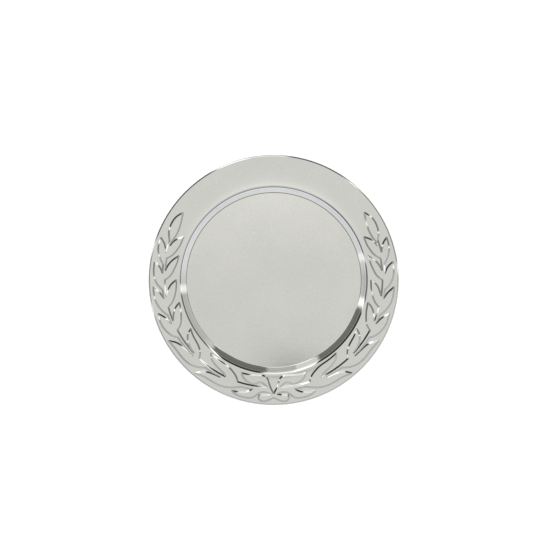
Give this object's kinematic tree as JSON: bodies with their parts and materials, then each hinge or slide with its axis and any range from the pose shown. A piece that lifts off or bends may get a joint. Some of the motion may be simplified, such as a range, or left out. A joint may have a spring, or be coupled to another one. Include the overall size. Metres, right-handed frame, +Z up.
{
  "type": "offering plate",
  "caption": "Round plated metal plate with a flat shallow well and a wide rim embossed with a laurel wreath, for collecting or presenting small things.",
  "frame": {"origin": "centre of the underside of the well, on the surface that the plate stands on", "axes": "+Z up out of the well; +Y towards the open end of the wreath, with the crossing of its stems at -Y"},
  "size_m": [0.254, 0.254, 0.0096],
  "materials": {
    "plated_sheet": "nickel plate, polished, with a faint satin haze on the well",
    "edge_wire": "plain drawn steel wire"
  },
  "bodies": {
    "root": {"plate": "plated_sheet", "rim_wire": "edge_wire"}
  },
  "joints": []
}
